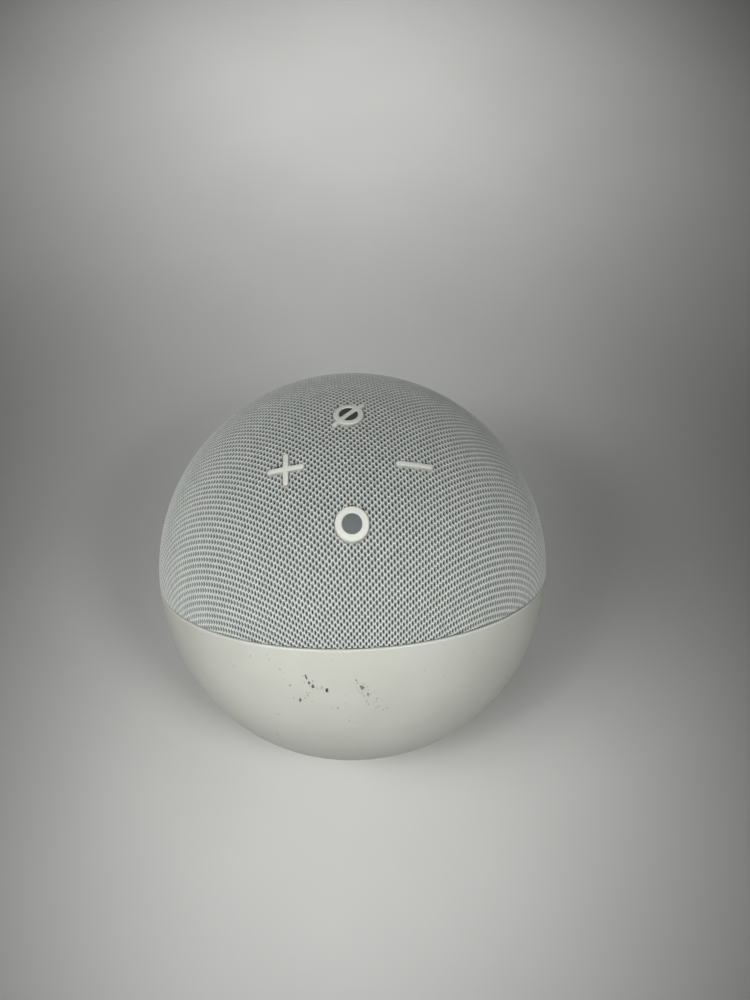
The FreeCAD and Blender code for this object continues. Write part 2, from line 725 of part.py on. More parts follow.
def sockets():
    """The jack board with the round power inlet and the audio socket, their noses in the recess."""
    nose = f"{PORT_FLOOR} - {SOCKET_FRONT}"
    body = slab("@socket_spread", f"({SOCKET_BACK} + {SOCKET_FRONT}) / 2", JACK_BOARD_TOP,
                "@socket_side", "@socket_depth", "@socket_side")
    tube = put(face_back(rod("@audio_nose_radius", nose)), "@socket_spread", SOCKET_FRONT,
               "@port_level")
    bore = put(face_back(rod("@audio_bore_radius", FAR)), "@socket_spread",
               f"{SOCKET_BACK} + @jack_back_wall", "@port_level")
    node("audio_jack", cut(join(body, tube), bore))

    body = slab("-@socket_spread", f"({SOCKET_BACK} + {SOCKET_FRONT}) / 2", JACK_BOARD_TOP,
                "@socket_side + 1", "@socket_depth", "@socket_side")
    tube = put(face_back(rod("@inlet_nose_radius", nose)), "-@socket_spread", SOCKET_FRONT,
               "@port_level")
    bore = put(face_back(rod("@inlet_bore_radius", FAR)), "-@socket_spread",
               f"{SOCKET_BACK} + @inlet_back_wall", "@port_level")
    pin = put(face_back(rod("@inlet_pin_radius", "@socket_depth - 1")), "-@socket_spread",
              f"{SOCKET_BACK} + 1", "@port_level")
    node("dc_jack", join(cut(join(body, tube), bore), pin))

    back = f"({SOCKET_FRONT} - @jack_board_setback)"
    depth = f"{back} - {SOCKET_BACK} + 1"
    board = slab("0", f"{back} - ({depth}) / 2", JACK_BOARD_LOW, "@jack_board_width",
                 depth, "@board_thickness")
    node("jack_board", board)


# ---------------------------------------------------------------- top board

def top_board():
    """The round board under the controls, its switches, microphones and screws."""
    disc = put(rod("@top_board_radius", "@board_thickness"), z=TOP_BOARD_LOW)
    bores = [put(rod("@screw_radius + @part_gap", FAR), x, y, "0")
             for x, y in spots("@top_post_circle", TOP_POST_ANGLES)]
    node("top_board", cut(disc, group(bores)))
    keys = [slab(x, y, TOP_BOARD_TOP, "@switch_side", "@switch_side", "@switch_tall")
            for x, y in spots("@button_circle", BUTTONS.values())]
    node("tactile_switches", group(keys))
    capsules = [slab(x, y, TOP_BOARD_TOP, "@capsule_width", "@capsule_depth", "@capsule_tall")
                for x, y in spots("@microphone_circle", TOP_POST_ANGLES)]
    node("microphones", group(capsules))
    screws = [put(screw("@board_thickness + @board_bite", "0", False), x, y, TOP_BOARD_LOW)
              for x, y in spots("@top_post_circle", TOP_POST_ANGLES)]
    node("top_board_screws", group(screws))


# ---------------------------------------------------------------- loudspeaker

FRAME_SCREWS = (45, 135, 225, 315)
TUB_SCREWS = (30, 90, 150, 210, 270, 330)


def baffle_and_tub():
    """The baffle screwed to the dome's posts, and the sealed tub behind it."""
    disc = ring("baffle_disc", BAFFLE_BORE, BAFFLE_RADIUS, "@baffle_low", BAFFLE_TOP)
    places = (spots(BAFFLE_POST_CIRCLE, POST_ANGLES) + spots(FRAME_SCREW_CIRCLE, FRAME_SCREWS)
              + spots(TUB_SCREW_CIRCLE, TUB_SCREWS))
    bores = [put(rod("@screw_radius + @screw_fit", FAR), x, v, "0") for x, v in places]
    node("front_baffle", lean(cut(disc, group(bores))))

    outer = "@tub_bore + @tub_wall"
    lip = "@baffle_low - @tub_wall"
    outline = [("0", TUB_LOW), (outer, TUB_LOW), (outer, lip), (TUB_FLANGE, lip),
               (TUB_FLANGE, "@baffle_low"), ("@tub_bore", "@baffle_low"),
               ("@tub_bore", TUB_FLOOR), ("0", TUB_FLOOR)]
    cup = turned("tub_body", outline)
    legs = [put(rod("@main_post_radius", "@main_board_gap + @tub_wall / 2"),
                f"{a} * @main_post_x", f"{b} * @main_post_v", BOARD_TOP)
            for a in (-1, 1) for b in (-1, 1)]
    bores = [put(rod("@screw_radius + @screw_fit", FAR), x, v, "0")
             for x, v in spots(TUB_SCREW_CIRCLE, TUB_SCREWS)]
    bores += [put(rod("@screw_radius + @screw_fit", "@main_board_gap - 1"),
                  f"{a} * @main_post_x", f"{b} * @main_post_v", BOARD_TOP)
              for a in (-1, 1) for b in (-1, 1)]
    node("enclosure_tub", lean(cut(join(cup, *legs), group(bores))))

    fix = [put(screw("@baffle_thickness + @baffle_bite", "0", False), x, v, "@baffle_low")
           for x, v in spots(BAFFLE_POST_CIRCLE, POST_ANGLES)]
    node("baffle_screws", lean(group(fix)))
    fix = [put(screw("@baffle_thickness + @tub_wall - @tub_screw_gap", "0", False), x, v, lip)
           for x, v in spots(TUB_SCREW_CIRCLE, TUB_SCREWS)]
    node("tub_screws", lean(group(fix)))


def driver_frame():
    """The driver's gasket, basket and screws."""
    pad = ring("gasket_ring", BAFFLE_BORE, FRAME_RADIUS, BAFFLE_TOP, GASKET_TOP)
    places = spots(FRAME_SCREW_CIRCLE, FRAME_SCREWS)
    bores = [put(rod("@screw_radius + @screw_fit", FAR), x, v, "0") for x, v in places]
    node("driver_gasket", lean(cut(pad, group(bores))))

    foot_top = "@motor_top + @basket_wall"
    outline = [(PLATE_BORE, "@motor_top"), (FOOT_EDGE, "@motor_top"),
               ("@frame_bore", f"{GASKET_TOP} - 2"), ("@frame_bore", GASKET_TOP),
               (FRAME_RADIUS, GASKET_TOP), (FRAME_RADIUS, FRAME_TOP),
               ("@frame_bore - @basket_wall", FRAME_TOP),
               ("@frame_bore - @basket_wall", f"{GASKET_TOP} - 2 + @basket_wall / 2"),
               (f"{FOOT_EDGE} - @basket_wall", foot_top), (PLATE_BORE, foot_top)]
    cage = turned("basket_body", outline)
    windows = [slab("0", f"{side} * {FOOT_EDGE}", foot_top, "@basket_window_width",
                    "@basket_window_reach", "@basket_window_tall") for side in (-1, 1)]
    windows += [slab(f"{side} * {FOOT_EDGE}", "0", foot_top, "@basket_window_reach",
                     "@basket_window_width", "@basket_window_tall") for side in (-1, 1)]
    bores = [put(rod("@screw_radius + @screw_fit", FAR), x, v, "0")
             for x, v in spots(FRAME_SCREW_CIRCLE, FRAME_SCREWS)]
    node("driver_basket", lean(cut(cage, group(windows + bores))))
    fix = [put(screw("@frame_thickness + @gasket_thickness + @baffle_thickness", "0", True), x, v,
               FRAME_TOP) for x, v in places]
    node("driver_screws", lean(group(fix)))


def driver_motor():
    """Top plate, ring magnet and yoke with its centre pole, and the terminal strip beside them."""
    node("top_plate", lean(ring("top_plate_ring", PLATE_BORE, "@magnet_radius - @plate_margin", PLATE_LOW,
                                "@motor_top")))
    node("magnet", lean(ring("magnet_ring", MAGNET_BORE, "@magnet_radius", MAGNET_LOW,
                             PLATE_LOW)))
    outline = [("0", YOKE_LOW), ("@magnet_radius", YOKE_LOW), ("@magnet_radius", MAGNET_LOW),
               ("@pole_radius", MAGNET_LOW), ("@pole_radius", "@motor_top"), ("0", "@motor_top")]
    node("yoke", lean(turned("yoke_body", outline)))
    strip = slab("@magnet_radius + @terminal_stand", "0", f"{MAGNET_LOW} + @terminal_lift",
                 "@terminal_thickness", "@terminal_width",
                 "@magnet_thickness - 1")
    node("driver_terminals", lean(group([strip])))


def driver_cone():
    """The moving cone, cap and coil, and the soft spider and surround that hold them."""
    low_radius = f"{FORMER_OUTER} + @bond_gap"
    outline = [(low_radius, CONE_LOW), (f"{low_radius} + @cone_neck", CONE_LOW),
               (CONE_RADIUS, f"{CONE_TOP} - @cone_wall"), (CONE_RADIUS, CONE_TOP),
               (f"{CONE_RADIUS} - @cone_wall", CONE_TOP),
               (low_radius, f"{CONE_LOW} + @cone_neck")]
    node("speaker_cone", lean(turned("cone_body", outline)))

    cap_low = f"{CONE_LOW} + @cap_seat"
    cap_radius = f"((({low_radius})^2 + @cap_rise^2) / (2 * @cap_rise))"
    cap_centre = f"{cap_low} + @cap_rise - {cap_radius}"
    cap_ball = put(bind(doc.addObject("Part::Sphere", "cap_ball"), Radius=cap_radius),
                   z=cap_centre)
    hollow = put(bind(doc.addObject("Part::Sphere", "cap_hollow"),
                      Radius=f"{cap_radius} - @cap_wall"), z=cap_centre)
    crown = common(cut(cap_ball, hollow), put(rod(FORMER_OUTER, FAR), z=cap_low))
    node("dust_cap", lean(crown))

    bottom = f"{PLATE_LOW} - @coil_overhang"
    wind_top = "@motor_top + @coil_overhang / 4"
    outline = [(COIL_BORE, bottom), (WINDING_OUTER, bottom), (WINDING_OUTER, wind_top),
               (FORMER_OUTER, wind_top), (FORMER_OUTER, f"{CONE_LOW} + @former_rise"),
               (COIL_BORE, f"{CONE_LOW} + @former_rise")]
    node("voice_coil", lean(turned("coil_body", outline)))

    node("spider", lean(ring("spider_ring", f"{FORMER_OUTER} + @soft_gap",
                             f"{FOOT_EDGE} - @basket_wall", SPIDER_LOW,
                             f"{SPIDER_LOW} + @spider_thickness")))

    inner = f"{CONE_RADIUS} + @soft_gap"
    outer = f"({inner} + 2 * @roll_radius)"
    middle = f"({inner} + @roll_radius)"
    roll = bind(doc.addObject("Part::Torus", "roll"), Radius1=middle, Radius2="@roll_radius")
    core = bind(doc.addObject("Part::Torus", "core"), Radius1=middle,
                Radius2="@roll_radius - @roll_wall")
    arch = common(cut(roll, core), rod(FAR, FAR))
    brim = ring("surround_brim", f"{outer} - @roll_wall", f"{outer} + @brim_width", "0", "@roll_wall")
    skin = join(arch, brim)
    node("surround", lean(skin, w=FRAME_TOP))


# ---------------------------------------------------------------- electronics

def electronics():
    """The main board behind the tub, with its chips, heat sink, shield can and screws."""
    board = slab("0", "0", BOARD_LOW, "@main_board_width", "@main_board_tall", "@board_thickness")
    places = [(f"{a} * @main_post_x", f"{b} * @main_post_v") for a in (-1, 1) for b in (-1, 1)]
    bores = [put(rod("@screw_radius + @part_gap", FAR), x, v, f"{BOARD_LOW} - 1") for x, v in places]
    node("main_board", lean(cut(board, group(bores))))
    fix = [put(screw("@board_thickness + @board_bite", "0", False), x, v, BOARD_LOW) for x, v in places]
    node("main_board_screws", lean(group(fix)))

    chip = slab("0", "0", BOARD_TOP, "@processor_side", "@processor_side", "@processor_thickness")
    node("processor_chip", lean(group([chip])))
    pad_low = f"{BOARD_TOP} + @processor_thickness"
    pad = slab("0", "0", pad_low, "@processor_side", "@processor_side", "@pad_thickness")
    node("thermal_pad", lean(group([pad])))
    sink_low = f"{pad_low} + @pad_thickness"
    plate = slab("0", "0", sink_low, "@sink_width", "@sink_tall", "@sink_thickness")
    feet = [slab(f"{side} * (@sink_width / 2 - @sink_foot / 2)", "0", BOARD_TOP,
                 "@sink_foot", "@sink_foot_width",
                 f"{sink_low} - {BOARD_TOP} + @sink_thickness / 2") for side in (-1, 1)]
    node("heat_sink", lean(join(plate, *feet)))

    can = slab("-@can_offset", "@can_rise", f"{BOARD_LOW} - @can_height",
               "@can_width", "@can_tall", "@can_height")
    node("shield_can", lean(group([can])))
    chips = [slab("@chip_offset", f"{side} * @chip_spread", f"{BOARD_LOW} - @chip_thickness",
                  "@chip_width", "@chip_tall", "@chip_thickness") for side in (-1, 1)]
    node("memory_chips", lean(group(chips)))


def antennas():
    """Two flat antenna boards against the inside of the housing, one each side of the sockets."""
    plates = []
    for side in (-1, 1):
        plate = slab("0", "0", f"{HOUSING_INNER} - @antenna_thickness - @antenna_setback", "@antenna_width",
                     "@antenna_tall", "@antenna_thickness")
        holder = group([plate])
        aim = FreeCAD.Rotation(FreeCAD.Vector(0, 0, 1), 180 - side * SIZES["antenna_turn"])
        up = FreeCAD.Rotation(FreeCAD.Vector(1, 0, 0), 90)
        holder.Placement = FreeCAD.Placement(FreeCAD.Vector(), aim.multiply(up))
        plates.append(put(holder, z=BALL_CENTRE))
    node("antennas", group(plates))


def check_and_write():
    """Stop on any failed object or bad shape, then write one file for each sub-part."""
    doc.recompute()
    for obj in doc.Objects:
        if "Invalid" in obj.State or "Error" in obj.State:
            raise RuntimeError(f"{obj.Name} ({obj.Label}) failed: {obj.State}")
    for obj in NODES:
        shape = obj.Shape
        if shape.isNull() or not shape.isValid() or not shape.Solids:
            raise RuntimeError(f"{obj.Label} has no valid solid")
    os.makedirs("parts", exist_ok=True)
    for obj in NODES:
        obj.Shape.exportStep(f"parts/{obj.Label}.step")
        print(f"{obj.Label}: {len(obj.Shape.Solids)} solids, {obj.Shape.Volume:.1f} mm3")


fabric_cover()
grille_dome()
seam_gasket()
rear_housing()
housing_floor()
socket_tray()
base_pieces()
sockets()
top_board()
buttons()
baffle_and_tub()
driver_frame()
driver_motor()
driver_cone()
electronics()
antennas()
check_and_write()
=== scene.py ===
import json
import math

import bpy
import numpy as np
from mathutils import Matrix, Vector


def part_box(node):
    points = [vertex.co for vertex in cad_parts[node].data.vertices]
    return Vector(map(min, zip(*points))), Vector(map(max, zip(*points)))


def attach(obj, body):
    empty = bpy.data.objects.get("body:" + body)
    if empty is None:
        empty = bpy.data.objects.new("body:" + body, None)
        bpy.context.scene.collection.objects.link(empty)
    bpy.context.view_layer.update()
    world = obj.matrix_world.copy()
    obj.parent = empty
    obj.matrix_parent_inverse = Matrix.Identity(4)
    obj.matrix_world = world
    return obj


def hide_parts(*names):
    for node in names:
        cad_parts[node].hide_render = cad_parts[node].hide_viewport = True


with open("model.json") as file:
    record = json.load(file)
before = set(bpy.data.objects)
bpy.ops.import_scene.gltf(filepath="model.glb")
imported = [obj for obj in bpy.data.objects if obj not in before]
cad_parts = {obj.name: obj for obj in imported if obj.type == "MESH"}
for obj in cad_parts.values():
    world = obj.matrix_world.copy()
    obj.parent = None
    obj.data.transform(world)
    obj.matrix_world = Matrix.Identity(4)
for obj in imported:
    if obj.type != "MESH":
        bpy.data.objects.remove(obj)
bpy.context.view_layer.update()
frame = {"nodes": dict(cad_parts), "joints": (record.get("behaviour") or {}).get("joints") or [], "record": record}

# Lengths below are in millimetres and become metres only when a mesh is made.
MM = 0.001

# ---------------------------------------------------------------- places taken from the model

cover_low, cover_high = (np.array(corner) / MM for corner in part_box("fabric_cover"))
BALL_RADIUS = (cover_high[0] - cover_low[0]) / 2
BALL_CENTRE = np.array((0.0, 0.0, cover_high[2] - BALL_RADIUS))
DOME_AXIS = np.array(next(j["axis"] for j in frame["joints"] if j["name"] == "cone_travel"))
DOME_AXIS /= np.linalg.norm(DOME_AXIS)
SIDE = np.array((1.0, 0.0, 0.0))
REAR = np.cross(DOME_AXIS, SIDE)

# Height of the bare shell's edge along the dome's axis, from the ball's middle.
SHELL_EDGE = -1.25

# The four controls: the circle they stand on, half lengths and radii of their symbols, the fillet
# where bars meet, how far they stand proud of the ball, and the cloth's gap round them.
KEY_CIRCLE = 14.1
KEY_PLACES = {"plus": (KEY_CIRCLE, 0.0), "minus": (-KEY_CIRCLE, 0.0),
              "action": (0.0, KEY_CIRCLE), "mute": (0.0, -KEY_CIRCLE)}
BAR_REACH = 3.5
BAR_HALF = 0.65
RING_RADIUS = {"action": 3.70, "mute": 3.52}
DISC_RADIUS = 2.1
SLASH_REACH = 4.5
SYMBOL_FILLET = 0.35
SYMBOL_PROUD = 0.38
KEY_GAP = 0.10

# The socket recess, a round-ended slot: its level above the table, half the distance between its
# round ends, its half height, and the rear face of the socket plate in it. Below it lies the
# shell's foot.
PORT_LEVEL = 22.6
PORT_REACH = 8.2
PORT_HALF = 6.8
PORT_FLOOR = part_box("socket_tray")[1][1] / MM
SHELL_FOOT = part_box("rear_housing")[0][2] / MM


# ---------------------------------------------------------------- meshes

def make_piece(name, points, faces, body, slot=None, **values):
    """One smooth mesh piece from points in millimetres and lists of face corners, riding on a body.

    Each extra value is an array with one number per point and becomes an attribute."""
    mesh = bpy.data.meshes.new(name)
    mesh.from_pydata((np.asarray(points) * MM).tolist(), [], faces)
    mesh.validate()
    for key, numbers in values.items():
        layer = mesh.attributes.new(key, "FLOAT", "POINT")
        layer.data.foreach_set("value", np.asarray(numbers, np.float32))
    mesh.polygons.foreach_set("use_smooth", [True] * len(mesh.polygons))
    piece = bpy.data.objects.new(name, mesh)
    bpy.context.scene.collection.objects.link(piece)
    if body:
        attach(piece, body)
    if slot:
        mesh.materials.append(finish_of(slot))
    return piece


def grid_faces(rows, columns, close=False):
    """Quads of a grid of points; close joins the last column to the first."""
    i, j = np.meshgrid(np.arange(rows - 1), np.arange(columns if close else columns - 1), indexing="ij")
    k = (j + 1) % columns
    return np.stack([i * columns + j, i * columns + k, (i + 1) * columns + k, (i + 1) * columns + j],
                    axis=-1).reshape(-1, 4)


# ---------------------------------------------------------------- distances and rolled edges

def bar_distance(x, y, reach, half, angle):
    """How far a point lies outside a round-ended bar turned by an angle."""
    c, s = math.cos(angle), math.sin(angle)
    along, across = x * c + y * s, y * c - x * s
    return np.hypot(np.maximum(np.abs(along) - reach, 0), across) - half


def soft_least(a, b, blend):
    """The lesser of two distances a and b, with a round fillet where they are alike.

    With share h = 0.5 + (b - a) / (2 blend), held from 0 to 1: b + (a - b) h - blend h (1 - h)."""
    near = np.clip(0.5 + 0.5 * (b - a) / blend, 0, 1)
    return b + (a - b) * near - blend * near * (1 - near)


def symbol_distance(which, x, y, hollow):
    """How far a point lies outside one control symbol, from the symbol's own middle.

    A hollow ring has its disc cut out; the slash runs over it at 45 degrees."""
    if which == "minus":
        return bar_distance(x, y, BAR_REACH, BAR_HALF, 0)
    if which == "plus":
        return soft_least(bar_distance(x, y, BAR_REACH, BAR_HALF, 0),
                          bar_distance(x, y, BAR_REACH, BAR_HALF, math.pi / 2), SYMBOL_FILLET)
    reach = np.hypot(x, y)
    ring = reach - RING_RADIUS[which]
    if hollow:
        ring = np.maximum(ring, DISC_RADIUS - reach)
    if which == "action":
        return ring
    return soft_least(ring, bar_distance(x, y, SLASH_REACH, BAR_HALF, math.pi / 4), SYMBOL_FILLET)


def all_symbols_distance(x, y):
    """How far a point on the dome lies outside the nearest symbol's hole in the cloth."""
    each = [symbol_distance(which, x - px, y - py, False) for which, (px, py) in KEY_PLACES.items()]
    return np.min(each, axis=0) - KEY_GAP


def slope_of(distance, x, y):
    """The direction in which a distance grows, by central differences."""
    step = 0.02
    gx = (distance(x + step, y) - distance(x - step, y)) / (2 * step)
    gy = (distance(x, y + step) - distance(x, y - step)) / (2 * step)
    return gx, gy


def roll_over(inside, roll):
    """Wrap a sheet round an edge: new distance inside the edge, and how far it drops.

    What lies nearer the edge than roll follows a quarter circle and then goes straight down."""
    past = np.maximum(roll - inside, 0)
    angle = np.minimum(past / roll, math.pi / 2)
    kept = np.where(past > 0, roll * (1 - np.sin(angle)), inside)
    drop = roll * (1 - np.cos(angle)) + np.maximum(past - roll * math.pi / 2, 0)
    return kept, drop


# ---------------------------------------------------------------- finishes

def joined(tree, socket, given):
    """Set a socket to a number, or join it to another node's output."""
    if isinstance(given, bpy.types.NodeSocket):
        tree.links.new(given, socket)
    else:
        socket.default_value = given


def add(tree, kind, inputs=None, **settings):
    """Add one shader node with its plain settings and its inputs by name or number."""
    made = tree.nodes.new(kind)
    for key, given in settings.items():
        setattr(made, key, given)
    for key, given in (inputs or {}).items():
        joined(tree, made.inputs[key], given)
    return made


def blank(name):
    """A new material with only its output and surface shader."""
    material = bpy.data.materials.new(name)
    material.use_nodes = True
    tree = material.node_tree
    tree.nodes.clear()
    shader = add(tree, "ShaderNodeBsdfPrincipled")
    output = add(tree, "ShaderNodeOutputMaterial")
    tree.links.new(shader.outputs[0], output.inputs["Surface"])
    return material, tree, shader


def noise(tree, place, size, detail=3.0, roughness=0.5):
    """A noise whose lumps are about size millimetres across."""
    return add(tree, "ShaderNodeTexNoise", {"Vector": place, "Scale": 1 / (size * MM), "Detail": detail,
                                            "Roughness": roughness}).outputs["Fac"]


def ramp(tree, value, stops):
    """A colour ramp from (position, colour) pairs."""
    made = add(tree, "ShaderNodeValToRGB", {"Fac": value})
    while len(made.color_ramp.elements) < len(stops):
        made.color_ramp.elements.new(1.0)
    for element, (position, colour) in zip(made.color_ramp.elements, stops):
        element.position = position
        element.color = (*colour, 1.0)
    return made.outputs["Color"]


def spread(tree, value, low, high, new_low, new_high):
    """Stretch a number from one range to another, held at both ends."""
    return add(tree, "ShaderNodeMapRange", {"Value": value, "From Min": low, "From Max": high,
                                            "To Min": new_low, "To Max": new_high}).outputs["Result"]


def raised(tree, shader, height, depth):
    """Let a pattern stand up from the surface by depth millimetres."""
    bump = add(tree, "ShaderNodeBump", {"Height": height, "Distance": depth * MM, "Strength": 1.0})
    tree.links.new(bump.outputs["Normal"], shader.inputs["Normal"])


def mixed(tree, share, a, b):
    """Mix two colours by a share."""
    made = add(tree, "ShaderNodeMix", data_type="RGBA")
    joined(tree, made.inputs[0], share)
    for socket, given in ((made.inputs[6], a), (made.inputs[7], b)):
        joined(tree, socket, given if isinstance(given, bpy.types.NodeSocket) else (*given, 1.0))
    return made.outputs[2]


def sums(tree, how, a, b):
    """One plain sum of two numbers."""
    return add(tree, "ShaderNodeMath", {0: a, 1: b}, operation=how).outputs[0]


def object_place(tree):
    """Where a point is on the object, in metres."""
    return add(tree, "ShaderNodeTexCoord").outputs["Object"]


def stretched_place(tree, scale):
    """Object place stretched along its axes, for grain that runs one way."""
    return add(tree, "ShaderNodeMapping", {"Vector": object_place(tree), "Scale": scale}).outputs[0]


# ---------------------------------------------------------------- plain slot finishes

# slot: deep colour, light colour, grain mm, bump mm, roughness low and high, metallic, grain direction
PLAIN = {
    "dome_plastic": ((0.035, 0.038, 0.036), (0.055, 0.058, 0.055), 0.5, 0.015, 0.55, 0.7, 0, None),
    "gasket_foam": ((0.03, 0.032, 0.03), (0.07, 0.073, 0.07), 0.25, 0.06, 0.85, 0.95, 0, None),
    "button_plastic": ((0.78, 0.79, 0.72), (0.84, 0.85, 0.78), 0.5, 0.004, 0.42, 0.52, 0, None),
    "dot_grey": ((0.122, 0.142, 0.144), (0.146, 0.166, 0.168), 0.4, 0.004, 0.38, 0.5, 0, None),
    # window_dark: the mute's window, its dark colour partly its own and partly painted shade of its deeper hole.
    "window_dark": ((0.070, 0.080, 0.070), (0.088, 0.098, 0.086), 0.6, 0.002, 0.2, 0.3, 0, None),
    "light_diffuser": ((0.58, 0.60, 0.60), (0.70, 0.72, 0.71), 0.8, 0.006, 0.35, 0.5, 0, None),
    "base_plastic": ((0.16, 0.165, 0.16), (0.20, 0.205, 0.195), 0.35, 0.015, 0.5, 0.65, 0, None),
    "foot_rubber": ((0.055, 0.057, 0.056), (0.085, 0.087, 0.085), 0.3, 0.03, 0.75, 0.9, 0, None),
    "component_black": ((0.012, 0.012, 0.013), (0.028, 0.028, 0.03), 0.2, 0.008, 0.45, 0.65, 0, None),
    "led_white": ((0.72, 0.70, 0.52), (0.84, 0.82, 0.64), 0.3, 0.004, 0.25, 0.4, 0, None),
    "screw_steel": ((0.42, 0.42, 0.41), (0.62, 0.62, 0.60), 0.15, 0.004, 0.22, 0.38, 1, (1, 1, 8)),
    "can_steel": ((0.55, 0.56, 0.55), (0.70, 0.71, 0.70), 0.3, 0.003, 0.25, 0.42, 1, (1, 8, 1)),
    "yoke_steel": ((0.34, 0.35, 0.33), (0.55, 0.56, 0.52), 0.5, 0.004, 0.3, 0.45, 1, None),
    "basket_steel": ((0.03, 0.03, 0.032), (0.06, 0.06, 0.062), 0.3, 0.01, 0.4, 0.55, 0, None),
    "magnet_ferrite": ((0.035, 0.034, 0.034), (0.085, 0.083, 0.08), 0.25, 0.02, 0.6, 0.85, 0, None),
    "cone_paper": ((0.018, 0.018, 0.02), (0.05, 0.05, 0.052), 0.35, 0.03, 0.7, 0.9, 0, (3, 1, 1)),
    "spider_cloth": ((0.42, 0.28, 0.10), (0.58, 0.42, 0.18), 0.2, 0.03, 0.7, 0.9, 0, (4, 1, 1)),
    "surround_rubber": ((0.012, 0.012, 0.012), (0.03, 0.03, 0.03), 0.3, 0.008, 0.45, 0.6, 0, None),
    "coil_copper": ((0.55, 0.22, 0.09), (0.80, 0.40, 0.20), 0.12, 0.01, 0.25, 0.4, 1, (1, 1, 9)),
    "sink_aluminium": ((0.60, 0.61, 0.62), (0.74, 0.75, 0.76), 0.3, 0.006, 0.3, 0.48, 1, (1, 9, 1)),
    "thermal_gel": ((0.42, 0.46, 0.52), (0.54, 0.58, 0.63), 0.4, 0.02, 0.6, 0.8, 0, None),
    "antenna_film": ((0.16, 0.09, 0.025), (0.34, 0.20, 0.06), 0.6, 0.004, 0.3, 0.45, 0, (1, 6, 1)),
}


def plain_finish(slot):
    """Fine grain over slow mottling between two close colours, with its own roughness."""
    deep, light, grain, depth, rough_low, rough_high, metallic, direction = PLAIN[slot]
    material, tree, shader = blank(slot)
    place = stretched_place(tree, direction) if direction else object_place(tree)
    fine = noise(tree, place, grain, 4.0)
    slow = noise(tree, object_place(tree), grain * 14, 2.0)
    both = sums(tree, "ADD", sums(tree, "MULTIPLY", fine, 0.6), sums(tree, "MULTIPLY", slow, 0.4))
    joined(tree, shader.inputs["Base Color"], ramp(tree, both, [(0.32, deep), (0.68, light)]))
    joined(tree, shader.inputs["Roughness"], spread(tree, slow, 0.3, 0.7, rough_low, rough_high))
    shader.inputs["Metallic"].default_value = metallic
    raised(tree, shader, fine, depth)
    return material


def board_finish(slot):
    """Circuit board laminate: green mask over a woven ground with faint straight tracks."""
    material, tree, shader = blank(slot)
    place = object_place(tree)
    weave = noise(tree, stretched_place(tree, (1, 6, 6)), 0.5)
    cells = add(tree, "ShaderNodeTexBrick", {"Vector": place, "Scale": 1 / (6 * MM), "Mortar Size": 0.03,
                                             "Color1": (0, 0, 0, 1), "Color2": (0.25, 0.25, 0.25, 1),
                                             "Mortar": (1, 1, 1, 1)}).outputs["Color"]
    ground = ramp(tree, weave, [(0.3, (0.010, 0.060, 0.040)), (0.7, (0.018, 0.095, 0.060))])
    share = add(tree, "ShaderNodeRGBToBW", {"Color": cells}).outputs[0]
    joined(tree, shader.inputs["Base Color"],
           mixed(tree, sums(tree, "MULTIPLY", share, 0.6), ground, (0.05, 0.20, 0.12)))
    joined(tree, shader.inputs["Roughness"], spread(tree, weave, 0.3, 0.7, 0.3, 0.45))
    raised(tree, shader, sums(tree, "ADD", share, sums(tree, "MULTIPLY", weave, 0.3)), 0.02)
    return material


# Single scuff marks on the rear shell: middle in millimetres, reach, and how dark.
MARKS = [((11.0, 40.4, 66.8), 0.66, 0.95), ((10.5, 41.2, 65.6), 0.45, 0.85), ((9.7, 41.7, 64.8), 0.78, 0.95),
         ((6.6, 42.5, 64.4), 0.74, 1.0), ((12.7, 43.3, 60.6), 0.74, 0.9), ((10.9, 42.9, 62.2), 0.42, 0.65),
         ((7.7, 42.1, 64.9), 0.60, 0.35), ((14.7, 40.9, 63.8), 0.42, 0.55), ((16.6, 38.2, 66.7), 0.34, 0.70),
         ((18.1, 44.1, 53.9), 0.30, 0.60), ((2.2, 47.0, 56.0), 0.30, 0.60), ((4.5, 45.2, 60.0), 0.40, 0.35),
         ((0.3, 41.4, 67.0), 0.32, 0.75), ((-0.9, 42.6, 65.2), 0.80, 0.75), ((-2.2, 43.5, 63.5), 0.60, 0.65)]
# Patches of fine specks round them: middle, reach, and how thick the specks lie.
SCUFFS = [((10.4, 41.6, 65.0), 3.2, 0.30), ((12.0, 43.0, 61.6), 2.4, 0.16), ((0.0, 41.9, 66.2), 1.8, 0.45),
          ((-1.5, 43.1, 64.2), 2.4, 0.85), ((-2.9, 44.3, 61.9), 2.2, 0.65), ((-4.6, 45.0, 60.2), 2.6, 0.32),
          ((1.5, 40.2, 68.3), 2.4, 0.10), ((15.6, 39.8, 65.0), 2.6, 0.12)]


